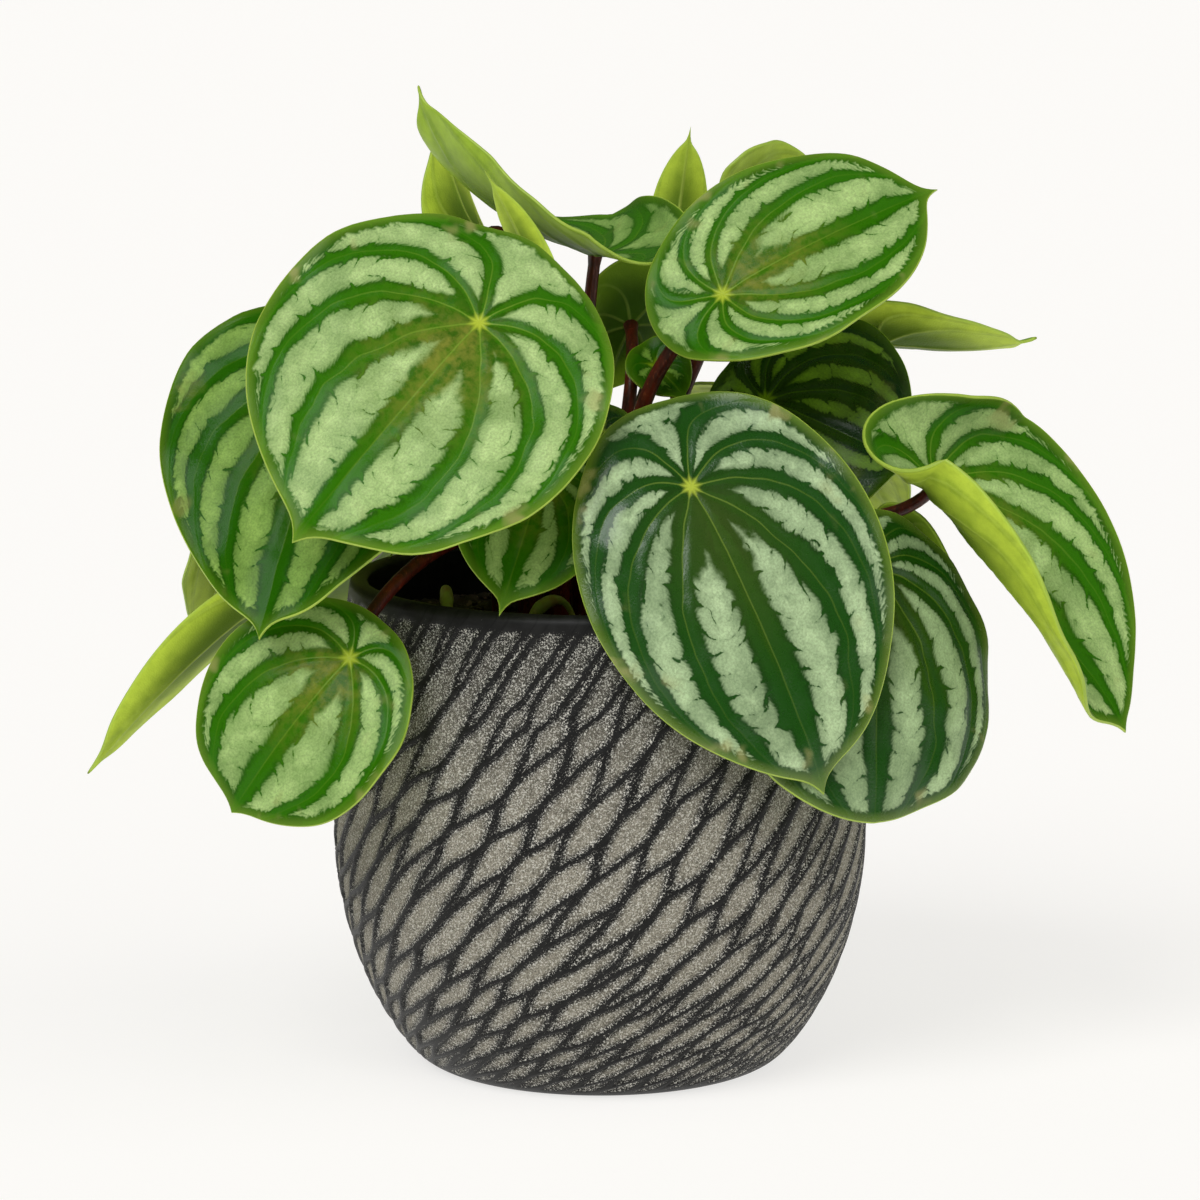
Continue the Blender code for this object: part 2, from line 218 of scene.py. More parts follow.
class PeperomiaPot(bpy.types.PropertyGroup):
    """Sizes and colours of the pot."""

    columns: bpy.props.IntProperty(
        name="Columns", description="Columns of pads round the pot", default=38, min=12)
    cell: span("Pad length", 0.043, "Length of one pad with its share of ribs")
    rib: span("Rib", 0.0008, "Half the width of a smooth rib")
    relief: span("Relief", 0.0006, "Height of the ribs over the pads")
    rib_colour: paint("Ribs", "#1D1D1C", "Smooth fired ribs")
    pad_colour: paint("Pads", "#928D7E", "Rough stone-grey pads")
    fleck_colour: paint("Flecks", "#E2E0D6", "Light grit in the pads")


class PeperomiaLeaves(bpy.types.PropertyGroup):
    """Sizes and colours of the leaves."""

    thickness: span("Thickness", 0.0011, "Thickness of a blade")
    quilting: span("Quilting", 0.00045, "Rise of the blade between its veins")
    wave: span("Wave", 0.0007, "Height of the waves in the margin")
    bright_silver: paint("Bright silver", "#BCD78E", "Silver bands of a sunlit leaf")
    bright_green: paint("Bright green", "#317002", "Green bands of a sunlit leaf")
    bright_under: paint("Bright underside", "#B8CC40", "Underside of a sunlit leaf")
    deep_silver: paint("Deep silver", "#BAD3A0", "Silver bands of an old leaf")
    deep_green: paint("Deep green", "#174A06", "Green bands of an old leaf")
    deep_under: paint("Deep underside", "#7E9A26", "Underside of an old leaf")
    pale_silver: paint("Pale silver", "#BDD994", "Silver bands of a young leaf")
    pale_green: paint("Pale green", "#478514", "Green bands of a young leaf")
    pale_under: paint("Pale underside", "#B8CE40", "Underside of a young leaf")
    margin: paint("Margin", "#A9C348", "Rim of every blade")


class PeperomiaGrowth(bpy.types.PropertyGroup):
    """Sizes and colours of stalks, sprouts and soil."""

    foot_radius: span("Stalk foot", 0.0022, "Radius of a stalk at the soil")
    end_radius: span("Stalk end", 0.0016, "Radius of a stalk at its blade")
    stalk_red: paint("Stalk red", "#5E1C0C", "Red skin of the stalks")
    stalk_brown: paint("Stalk brown", "#33100A", "Darker streaks in the stalks")
    sprout: paint("Sprout", "#8E9A3C", "Skin of the young sprouts")
    compost: paint("Compost", "#1E1611", "Moist potting compost")
    crumbs: bpy.props.IntProperty(
        name="Crumbs", description="Loose crumbs on the compost", default=420, min=0)


class PeperomiaStudio(bpy.types.PropertyGroup):
    """Floor, light and camera."""

    paper: paint("Paper", "#FCFBF9", "Studio paper under and behind the plant")
    room: power("Room light", 0.16, "Even light from all sides")
    key: power("Key light", 1.75, "Soft box over the left shoulder")
    fill: power("Fill light", 0.9, "Wide soft box from the right")
    distance: span("Distance", 1.2707, "Camera's distance from the pot's axis")
    height: span("Height", 0.3397, "Camera's height over the floor")
    pitch: bpy.props.FloatProperty(
        name="Pitch", description="How far the camera looks down", default=math.radians(9.76),
        unit="ROTATION")
    lens: bpy.props.FloatProperty(name="Lens", description="Focal length in millimetres", default=148.17)


# ---------------------------------------------------------------- pieces and meshes


def start_piece():
    """Leave edit mode and deselect all, so that the next operator acts on its own piece only."""
    if bpy.context.object and bpy.context.object.mode != "OBJECT":
        bpy.ops.object.mode_set(mode="OBJECT")
    bpy.ops.object.select_all(action="DESELECT")


def place_piece(name, mesh):
    """Put a mesh in the scene as a piece, selected and active."""
    piece = bpy.data.objects.new(name, mesh)
    bpy.context.scene.collection.objects.link(piece)
    bpy.context.view_layer.objects.active = piece
    piece.select_set(True)
    return piece


def edit_all():
    """Edit the active piece with all of it selected."""
    bpy.ops.object.mode_set(mode="EDIT")
    bpy.ops.mesh.select_all(action="SELECT")


def face_outwards():
    """Turn the selected faces outwards, leave edit mode and shade the piece smooth."""
    bpy.ops.mesh.normals_make_consistent(inside=False)
    bpy.ops.object.mode_set(mode="OBJECT")
    bpy.ops.object.shade_smooth()


def finish_piece(piece, name, slot, *nodes):
    """Name a piece, put its place in its mesh, hang it on the root body and hide the frame's parts that it
    replaces.
    """
    start_piece()
    piece.select_set(True)
    bpy.context.view_layer.objects.active = piece
    bpy.ops.object.transform_apply(location=True, rotation=True, scale=True)
    piece.name = name
    piece.data.name = name
    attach(piece, "root")
    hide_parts(*nodes)
    piece.select_set(False)


def read_points(mesh):
    """The mesh's points as rows of x, y, z."""
    points = np.empty(len(mesh.vertices) * 3)
    mesh.vertices.foreach_get("co", points)
    return points.reshape(-1, 3)


def write_points(mesh, points):
    """Move the mesh's points to these rows."""
    mesh.vertices.foreach_set("co", np.ascontiguousarray(points).ravel())
    mesh.update()


def write_attribute(mesh, name, values):
    """Keep a number or a vector at each point for the materials."""
    kind, field = ("FLOAT_VECTOR", "vector") if values.ndim == 2 else ("FLOAT", "value")
    attribute = mesh.attributes.new(name, kind, "POINT")
    attribute.data.foreach_set(field, np.ascontiguousarray(values, dtype=np.float32).ravel())


def wander(points, wavelength, seed):
    """Smooth noise between about -1 and 1 at rows of points: plane waves in random directions."""
    random = np.random.default_rng(seed)
    total = np.zeros(len(points))
    waves = 14
    for _ in range(waves):
        heading = random.normal(size=3)
        heading *= math.tau / (np.linalg.norm(heading) * wavelength * random.uniform(0.8, 1.5))
        total += np.sin(points @ heading + random.uniform(0.0, math.tau))
    return total * 0.55 / math.sqrt(waves)


def smooth(low, high, values):
    """0 below low, 1 above high and an even S between."""
    share = np.clip((values - low) / (high - low), 0.0, 1.0)
    return share * share * (3.0 - 2.0 * share)


# ---------------------------------------------------------------- nodes

# Each kind of node in use: its name in Blender, the inputs that are given, the output and the settings
KINDS = {
    "place": ("TexCoord", (), "Object", {}),
    "number": ("Attribute", (), "Fac", {}),
    "vector": ("Attribute", (), "Vector", {}),
    "x": ("SeparateXYZ", (0,), "X", {}),
    "y": ("SeparateXYZ", (0,), "Y", {}),
    "z": ("SeparateXYZ", (0,), "Z", {}),
    "stretch": ("VectorMath", (0, 1), 0, {"operation": "MULTIPLY"}),
    "length": ("VectorMath", (0,), "Value", {"operation": "LENGTH"}),
    "noise": ("TexNoise", ("Vector", "Scale", "Detail", "Roughness", "Distortion"), 0, {}),
    "cells": ("TexVoronoi", ("Vector", "Scale"), "Color", {}),
    "red": ("SeparateColor", (0,), 0, {}),
    "ramp": ("MapRange", range(5), 0, {}),
    "ease": ("MapRange", range(5), 0, {"interpolation_type": "SMOOTHSTEP"}),
    "mix": ("Mix", (0, 6, 7), 2, {"data_type": "RGBA"}),
    "tint": ("Mix", (0, 6, 7), 2, {"data_type": "RGBA", "blend_type": "MULTIPLY"}),
    "bump": ("Bump", ("Strength", "Distance", "Height"), 0, {}),
    "seen": ("LightPath", (), "Is Camera Ray", {}),
    "mirrored": ("LightPath", (), "Is Glossy Ray", {}),
}
KINDS.update({
    name: ("Math", range(3), 0, {"operation": name.upper()}) for name in
    ("add", "subtract", "multiply", "divide", "multiply_add", "power", "absolute", "pingpong")
})


def fill(node, sockets):
    """Link or set a node's inputs."""
    for key, value in sockets.items():
        if isinstance(value, bpy.types.NodeSocket):
            node.id_data.links.new(value, node.inputs[key])
        else:
            node.inputs[key].default_value = value


def add_node(tree, kind, *sockets, **settings):
    """Add a node with its settings and links, and return its output."""
    name, inputs, out, usual = KINDS[kind]
    made = tree.nodes.new("ShaderNode" + name)
    for setting, value in {**usual, **settings}.items():
        setattr(made, setting, value)
    fill(made, dict(zip(inputs, sockets)))
    return made.outputs[out]


def new_material(name):
    """A material, its shader and the function that adds its nodes."""
    material = bpy.data.materials.new(name)
    material.use_nodes = True
    tree = material.node_tree
    return material, tree.nodes["Principled BSDF"], partial(add_node, tree)


# ---------------------------------------------------------------- pot

POT_STEPS = 495  # about thirteen steps to a column of pads
POT_ROW = 0.8  # millimetres between rows of points on the outside
FOOT_BEVEL = 3.0  # millimetres over which the foot's edge is drawn in
NET_TOP = POT_HEIGHT - 3.6  # the smooth lip starts here
NET_BOTTOM = 1.2
ROW_SHEAR = 4  # whole rows that the pads climb in one turn round the pot
# Slope of the ribs in degrees, and length of a pad as a share of the setting, by height
RIB_SLOPES = ((0.0, 34.0), (20.0, 38.0), (45.0, 45.0), (85.0, 52.0), (POT_HEIGHT, 58.0))
PAD_LENGTHS = ((0.0, 0.85), (25.0, 0.95), (60.0, 1.1), (100.0, 1.4), (POT_HEIGHT, 1.7))
OPEN_SWING = 0.35  # how far apart the lines stay in the row under the lip
# How far the lines stray from even columns, and the pads from even rows: (wavelength, share, seed)
SWIRL = ((38.0, 0.16, 1), (14.0, 0.05, 2))
DRIFT = ((42.0, 0.30, 3), (15.0, 0.05, 4))


def pot_outside(height):
    """Outer radius of the pot at a height, both in millimetres."""
    if height < BELLY_HEIGHT:
        rise = 1.0 - (1.0 - height / BELLY_HEIGHT) ** 2
        return FOOT_RADIUS + (POT_RADIUS - FOOT_RADIUS) * rise**FOOT_ROUNDNESS
    over = (height - BELLY_HEIGHT) / (POT_HEIGHT - BELLY_HEIGHT)
    return POT_RADIUS - (POT_RADIUS - RIM_RADIUS) * over**2


def running_sum(steps):
    """The sum before each step and after the last."""
    return np.concatenate([[0.0], np.cumsum(steps)])


def outside_line():
    """Points of the pot's outer line from the foot to the lip, evenly spaced, as (radius, height)."""
    fine = np.linspace(0.0, POT_HEIGHT - LIP_ROUNDING, 2000)
    radii = np.array([pot_outside(height) for height in fine])
    radii = np.where(fine < FOOT_BEVEL, radii - 0.8 * (1.0 - fine / FOOT_BEVEL) ** 2, radii)
    travel = running_sum(np.hypot(np.diff(radii), np.diff(fine)))
    even = np.linspace(0.0, travel[-1], int(travel[-1] / POT_ROW))
    return np.interp(even, travel, radii), np.interp(even, travel, fine)


def make_pot_mesh(settings):
    """Turn the pot's profile about its axis and carve the net into its outside."""
    start_piece()
    radii, heights = outside_line()
    foot = [(0.0, 0.6), (30.0, 0.6), (32.0, 0.0), (radii[0] - 2.0, 0.0)]
    half_wall = WALL / 2.0
    lip = [(RIM_RADIUS - half_wall + half_wall * math.cos(angle),
            POT_HEIGHT - LIP_ROUNDING + LIP_ROUNDING * math.sin(angle))
           for angle in np.linspace(0.25, math.pi, 9)]
    inside = [(pot_outside(height) - WALL, height) for height in np.linspace(122.0, 9.0, 14)]
    floor = [(INSIDE_FOOT_RADIUS - 2.0, FLOOR), (0.0, FLOOR)]
    profile = foot + list(zip(radii, heights)) + lip + inside + floor
    mesh = bpy.data.meshes.new("pot")
    mesh.from_pydata([(radius * MM, 0.0, height * MM) for radius, height in profile],
                     [(at, at + 1) for at in range(len(profile) - 1)], [])
    piece = place_piece("pot_stoneware", mesh)
    screw = piece.modifiers.new("turned", "SCREW")
    screw.steps = screw.render_steps = POT_STEPS
    screw.use_merge_vertices = True
    screw.merge_threshold = 0.00001
    bpy.ops.object.modifier_apply(modifier=screw.name)
    edit_all()
    face_outwards()
    carve_net(piece.data, radii, heights, settings)
    return piece


def carve_net(mesh, radii, heights, settings):
    """Twist the rows along the ribs, then raise the ribs and sink the crevice beside each.

    The net is a family of slanting lines that swing apart and together, so that pads sit between them.
    """
    points = read_points(mesh) * TO_MM
    radius = np.hypot(points[:, 0], points[:, 1])
    height = points[:, 2]
    untwisted = np.arctan2(points[:, 1], points[:, 0])

    slopes = np.radians(np.interp(heights, *zip(*RIB_SLOPES)))
    steps = np.hypot(np.diff(radii), np.diff(heights))
    turn_rate = 1.0 / (np.tan(slopes) * radii)
    turned = running_sum((turn_rate[1:] + turn_rate[:-1]) / 2.0 * steps)
    pad_length = settings.cell * TO_MM * np.interp(heights, *zip(*PAD_LENGTHS))
    row_rate = 1.0 / (pad_length * np.sin(slopes))
    rows = running_sum((row_rate[1:] + row_rate[:-1]) / 2.0 * steps)
    outside = (radius > np.interp(height, heights, radii) - 1.0) & (height < NET_TOP + 3.0)
    angle = untwisted + np.where(outside, np.interp(height, heights, turned), turned[-1])
    outwards = np.column_stack([np.cos(angle), np.sin(angle)])
    points[:, :2] = radius[:, None] * outwards

    swirl, drift = (sum(wander(points, length, seed) * share for length, share, seed in waves)
                    for waves in (SWIRL, DRIFT))
    column = untwisted * settings.columns / math.tau + swirl
    row = np.interp(height, heights, rows - rows[-1]) + drift * smooth(0.0, 30.0, POT_HEIGHT - height)
    swing = (1.0 + np.cos(math.tau * row + ROW_SHEAR * untwisted)) / 4.0
    swing = swing + (OPEN_SWING - swing) * smooth(-0.40, -0.15, row)
    lines = np.stack([column - swing, column + swing]) % 1.0
    pitch = math.tau * radius / settings.columns * np.sin(np.interp(height, heights, slopes))
    from_left = lines.min(axis=0) * pitch
    from_right = (1.0 - lines).min(axis=0) * pitch
    depth = (np.maximum(from_left, 1e-3) ** -3 + np.maximum(from_right, 1e-3) ** -3) ** (-1.0 / 3.0)
    for edge in (np.clip(NET_TOP - height, 0.0, None), np.clip(height - NET_BOTTOM, 0.0, None) * 1.5):
        depth = depth * edge / (depth + edge + 1e-6)
    depth = np.where(outside, depth, 0.0)

    # A rib is soft on one side and steep, with a crevice at its foot, on the other
    rib = settings.rib * TO_MM
    steep = smooth(-0.2, 0.5, (from_right - from_left) / np.maximum(from_left + from_right, 1e-6))
    soft_side = np.exp(-((depth / (rib * 1.15)) ** 2))
    steep_side = 1.0 - smooth(rib * 0.55, rib * 1.05, depth)
    crevice = np.exp(-(((depth - rib * 1.15) / (rib * 0.35)) ** 2))
    rise = soft_side + (steep_side - soft_side) * steep - 0.45 * crevice * steep
    rise = settings.relief * TO_MM * (rise - 1.0) * smooth(0.0, 1.2, NET_TOP - height)
    rise += wander(points, 0.9, 5) * 0.07 * smooth(rib, rib * 1.5, depth)
    rise = np.where(outside, rise, 0.0) * smooth(0.0, 2.5, height)
    points[:, :2] += rise[:, None] * outwards
    write_points(mesh, points * MM)
    write_attribute(mesh, "pad_depth", depth)
    write_attribute(mesh, "from_left", from_left)


def stoneware_material(settings):
    """Unglazed black stoneware: pressed ribs with a soft sheen, pads that show the light grit."""
    material, shader, add = new_material("unglazed_black_stoneware")
    place = add("stretch", add("place"), (TO_MM, TO_MM, TO_MM))
    depth = add("number", attribute_name="pad_depth")
    side = add("number", attribute_name="from_left")
    height = add("z", place)
    rib = settings.rib * TO_MM

    # Grit is about 0.4 mm in the real pot, and is drawn at 0.6 mm so that it shows
    grit = add("noise", place, 2.5, 2.0, 0.6, 0.8)
    coarse = add("noise", place, 0.28, 2.0)
    ragged = add("multiply_add", grit, 2.6, depth)
    pad = add("ease", ragged, rib + 1.15, rib + 1.50)
    middle = add("ease", depth, rib + 0.1, rib + 1.5)
    # The pads fade to dark grey towards their edges and from 72 mm up towards the lip
    upper = add("ramp", height, 72.0, 120.0, 1.0, 0.12)
    pad_lightness = add("multiply", middle, upper)
    pad_lightness = add("multiply", pad_lightness, add("ramp", coarse, 0.3, 0.7, 0.8, 1.15))
    ground = add("mix", pad_lightness, colour("#3C3B37"), settings.pad_colour)
    fleck = add("ease", grit, 0.53, 0.62, 0.0, 0.9)
    pitted = add("ease", grit, 0.36, 0.50, 0.50, 1.0)
    ground = add("tint", 1.0, ground, pitted)
    fleck = add("multiply", fleck, add("ramp", middle, 0.0, 1.0, 1.0, 0.8))
    ground = add("mix", fleck, ground, settings.fleck_colour)
    smooth_rib = add("mix", add("ramp", coarse, 0.35, 0.65), colour("#121211"), settings.rib_colour)
    skin = add("mix", pad, smooth_rib, ground)
    # Painted shade: a near-black line in the crevice at the foot of each rib's steep side, where shade falls
    crevice = add("divide", add("subtract", side, rib * 0.95), rib * 0.35)
    crevice = add("multiply", crevice, crevice)
    crevice = add("ease", crevice, 0.0, 1.4, 0.75, 0.0)
    skin = add("mix", crevice, skin, colour("#0C0C0C"))
    rough = add("ramp", pad, 0.0, 1.0, 0.46, 0.85)
    heaped = add("multiply", grit, add("ramp", pad, 0.0, 1.0, 0.12, 1.0))
    bump = add("bump", 0.6, 0.0005, heaped)
    fill(shader, {"Base Color": skin, "Roughness": rough, "IOR": 1.5, "Specular IOR Level": 0.22,
                  "Normal": bump})
    return material


# ---------------------------------------------------------------- soil

SOIL_RINGS = 44
SOIL_SPOKES = 180
SOIL_SKIRT = 9.0  # millimetres that the soil's side goes down inside the pot
CRUMB_EDGE = 3.0  # millimetres of bare soil along the wall


def soil_top(radius):
    """Height of the soil in millimetres at a distance from the axis."""
    edge = pot_outside(SOIL_LEVEL) - WALL
    return SOIL_LEVEL + SOIL_DOME * (1.0 - (radius / edge) ** 2)


def make_soil_mesh():
    """A disc of compost, heaped and lumpy on top, with a skirt that goes down inside the pot."""
    start_piece()
    edge = (pot_outside(SOIL_LEVEL) - WALL - 0.1) * MM
    bpy.ops.mesh.primitive_circle_add(vertices=SOIL_SPOKES, radius=edge, fill_type="NGON",
                                      location=(0.0, 0.0, (SOIL_LEVEL - SOIL_SKIRT) * MM))
    piece = bpy.context.object
    edit_all()
    bpy.ops.mesh.extrude_region_move(TRANSFORM_OT_translate={"value": (0.0, 0.0, SOIL_SKIRT * MM)})
    for _ in range(SOIL_RINGS - 1):
        bpy.ops.mesh.inset(thickness=edge / SOIL_RINGS)
    bpy.ops.mesh.poke()
    bpy.ops.mesh.select_all(action="SELECT")
    face_outwards()
    bpy.ops.object.transform_apply(location=True, rotation=True, scale=True)
    points = read_points(piece.data) * TO_MM
    top = points[:, 2] > SOIL_LEVEL - 1.0
    radius = np.hypot(points[:, 0], points[:, 1])
    flat = points * (1.0, 1.0, 0.0)
    lumps = wander(flat, 9.0, 21) * 1.6 + np.abs(wander(flat, 3.2, 22)) * 1.8 + wander(flat, 1.4, 23) * 0.7
    points[:, 2] = np.where(top, soil_top(radius) - 0.9 + lumps, points[:, 2])
    write_points(piece.data, points * MM)
    return piece


def add_crumbs(piece, count):
    """Scatter crumbs of bark and peat on the soil, each a small dented ball, and join them to it."""
    random = np.random.default_rng(7)
    edge = pot_outside(SOIL_LEVEL) - WALL - CRUMB_EDGE
    start_piece()
    bpy.ops.mesh.primitive_ico_sphere_add(subdivisions=1, radius=1.0)
    pattern = bpy.context.object
    shape = read_points(pattern.data)
    crumbs = []
    for _ in range(count):
        radius = edge * math.sqrt(random.uniform(0.0, 1.0))
        around = random.uniform(0.0, math.tau)
        size = 0.5 + 1.4 * random.uniform(0.0, 1.0) ** 3
        stretch = random.uniform(0.6, 1.3, 3) * (1.0, 1.0, 0.7)
        dents = random.uniform(0.75, 1.15, (len(shape), 1))
        turn = random.uniform(0.0, math.tau)
        turned = shape * dents * stretch * size
        cos, sin = math.cos(turn), math.sin(turn)
        turned[:, :2] = turned[:, :2] @ np.array([[cos, sin], [-sin, cos]])
        centre = (radius * math.cos(around), radius * math.sin(around), soil_top(radius) + 0.25)
        mesh = pattern.data.copy()
        write_points(mesh, (turned + centre) * MM)
        crumbs.append(place_piece("crumb", mesh))
    bpy.data.objects.remove(pattern)
    start_piece()
    for crumb in (*crumbs, piece):
        crumb.select_set(True)
    bpy.context.view_layer.objects.active = piece
    bpy.ops.object.join()


def compost_material(settings):
    """Moist peat and bark compost: nearly black, matt, with brown fibres and a few pale grains."""
    material, shader, add = new_material("moist_compost")
    place = add("stretch", add("place"), (TO_MM, TO_MM, TO_MM))
    clods = add("noise", place, 0.35, 4.0, 0.65)
    grains = add("cells", place, 0.75)
    grain = add("red", grains)
    base = add("mix", add("ramp", clods, 0.4, 0.65), settings.compost, colour("#3A2A1C"))
    pale = add("ramp", grain, 0.93, 0.97, 0.0, 0.5)
    base = add("mix", pale, base, colour("#6E5A43"))
    bump = add("bump", 0.8, 0.0008, clods)
    fill(shader, {"Base Color": base, "Roughness": 0.92, "Normal": bump})
    return material


# ---------------------------------------------------------------- blades

DRIP_WIDTH = 0.16  # radians of the outline over which the drip tip is drawn out
DIMPLE = 1.0  # depth in millimetres of the hollow over the stalk
DIMPLE_RADIUS = 6.0
VEINS_PER_SIDE = ((28.5, 4.5), (12.0, 3.5), (0.0, 2.5))  # from each half width up
FULL_GROWN = 45.0  # half width in millimetres at which relief is at full size
LARGE = 24.0  # half width from which a blade takes the finer disc
RIM_PROFILE = ((0.9985, 0.22), (0.9945, 0.41), (0.985, 0.5))  # share of the radius and of the thickness
STEP = 1e-3  # step in the outline's own coordinates for working out slopes


def direction(azimuth, elevation=0.0):
    """Unit vector for an azimuth from +X towards +Y and an elevation, in degrees."""
    a, e = math.radians(azimuth), math.radians(elevation)
    return Vector((math.cos(a) * math.cos(e), math.sin(a) * math.cos(e), math.sin(e)))


def arc(length, turn_per_mm):
    """End of an arc that starts level and turns down: (along, fall, angle), for arrays of lengths."""
    angle = length * turn_per_mm
    half = angle / 2.0
    return length * np.sinc(angle / math.pi), length * np.sin(half) * np.sinc(half / math.pi), angle


class Blade:
    """The upper face of one leaf as a function of the leaf's own plane, in millimetres."""

    def __init__(self, leaf):
        self.leaf = leaf
        self.junction = Vector(leaf.junction)
        chord = Vector(leaf.tip) - self.junction
        half_droop = math.radians(leaf.droop) / 2.0
        self.fore = chord.length * (half_droop / math.sin(half_droop) if half_droop else 1.0)
        along = chord.normalized()
        self.side = direction(*leaf.faces).cross(along).normalized()
        up = along.cross(self.side)
        self.forward = along * math.cos(half_droop) + up * math.sin(half_droop)
        self.normal = up * math.cos(half_droop) - along * math.sin(half_droop)
        self.veins_per_side = next(veins for least, veins in VEINS_PER_SIDE if leaf.half_width > least)

    def outline(self, phi):
        """Margin of the flat blade; phi is 0 at the tip and pi at the rear, positive to the left."""
        leaf = self.leaf
        middle = (self.fore - leaf.drip - leaf.back) / 2.0
        reach = (self.fore - leaf.drip + leaf.back) / 2.0
        x = middle + reach * np.cos(phi) + leaf.drip * np.exp(-((phi / DRIP_WIDTH) ** 2))
        pinch = np.abs(phi) / np.hypot(phi, leaf.point)
        y = leaf.half_width * np.sin(phi) * (1.0 - leaf.egg * np.cos(phi)) * pinch
        return x, y

    def place(self, x, y):
        """Points of the upper face, as rows, for points of the flat blade."""
        leaf = self.leaf
        across, sag, _ = arc(y, np.radians(np.where(y > 0, leaf.left, leaf.right)) / leaf.half_width)
        lean = np.radians(np.where(x > 0, leaf.twist * x / self.fore, leaf.twist_back * x / leaf.back))
        across, sag = (across * np.cos(lean) + sag * np.sin(lean),
                       sag * np.cos(lean) - across * np.sin(lean))
        along, fall, angle = arc(x, np.radians(np.where(x > 0, leaf.droop / self.fore,
                                                        leaf.nape / leaf.back)))
        dimple = DIMPLE * np.exp(-(x * x + y * y) / DIMPLE_RADIUS**2)
        return (np.array(self.junction) + np.outer(across, self.side)
                + np.outer(along - sag * np.sin(angle), self.forward)
                - np.outer(fall + sag * np.cos(angle) + dimple, self.normal))

    def over_stalk(self):
        """The point of the upper face over the stalk."""
        return Vector(self.place(np.zeros(1), np.zeros(1))[0])

    def faces_at(self, x, y):
        """Unit normals of the upper face, as rows."""
        step = 0.05
        ahead = self.place(x + step, y) - self.place(x - step, y)
        beside = self.place(x, y + step) - self.place(x, y - step)
        normal = np.cross(ahead, beside)
        return normal / np.linalg.norm(normal, axis=1, keepdims=True)

    def veins(self, rho, phi):
        """How many veins lie between a point and the midrib, for shares of the way to the margin."""
        x, y = self.outline(phi)
        around = np.abs(np.arctan2(y, x)) / math.pi
        spread = 1.0 - 0.88 * rho**2
        return self.veins_per_side * around / np.maximum(around + (1.0 - around) * spread, 1e-9)

    def margin_run(self, phi):
        """Margin point and how it moves with phi."""
        x, y = self.outline(phi)
        x_after, y_after = self.outline(phi + STEP)
        return x, y, (x_after - x) / STEP, (y_after - y) / STEP

    def vein_gap(self, rho, phi):
        """Distance from one vein to the next at each point."""
        x, y, run_x, run_y = self.margin_run(phi)
        across_x, across_y = rho * run_x, rho * run_y
        count = self.veins(rho, phi)
        by_rho = (self.veins(rho + STEP, phi) - count) / STEP
        by_phi = (self.veins(rho, phi + STEP) - count) / STEP
        area = x * across_y - y * across_x
        area = np.where(np.abs(area) < 1e-6, 1e-6, area)
        grow_x = (by_rho * across_y - y * by_phi) / area
        grow_y = (x * by_phi - by_rho * across_x) / area
        return 1.0 / np.maximum(np.hypot(grow_x, grow_y), 1e-3)

    def to_margin(self, rho, phi):
        """Distance from each point to the margin."""
        x, y, run_x, run_y = self.margin_run(phi)
        return (1.0 - rho) * np.abs(x * run_y - y * run_x) / np.maximum(np.hypot(run_x, run_y), 1e-6)


def make_pattern_disc(name, spokes, rings):
    """A closed flat disc of radius 1 and thickness 1 with a round margin, which every blade starts as."""
    start_piece()
    bpy.ops.mesh.primitive_circle_add(vertices=spokes, radius=1.0)
    piece = bpy.context.object
    piece.name = name
    edit_all()
    radius, height = 1.0, 0.0
    inner = [(share, 0.5) for share in np.linspace(RIM_PROFILE[-1][0], 0.0, rings + 1)[1:-1]]
    for next_radius, next_height in (*RIM_PROFILE, *inner):
        bpy.ops.mesh.extrude_edges_move(
            TRANSFORM_OT_translate={"value": (0.0, 0.0, next_height - height)})
        bpy.ops.transform.resize(value=(next_radius / radius, next_radius / radius, 1.0))
        radius, height = next_radius, next_height
    bpy.ops.mesh.edge_face_add()
    bpy.ops.mesh.poke()
    bpy.ops.object.mode_set(mode="OBJECT")
    mirror = piece.modifiers.new("under", "MIRROR")
    mirror.use_axis = (False, False, True)
    mirror.merge_threshold = 0.0001
    bpy.ops.object.modifier_apply(modifier=mirror.name)
    edit_all()
    face_outwards()
    for face in piece.data.polygons:
        face.material_index = 0 if face.center.z > 0.45 else 1 if face.center.z < -0.45 else 2
    return piece


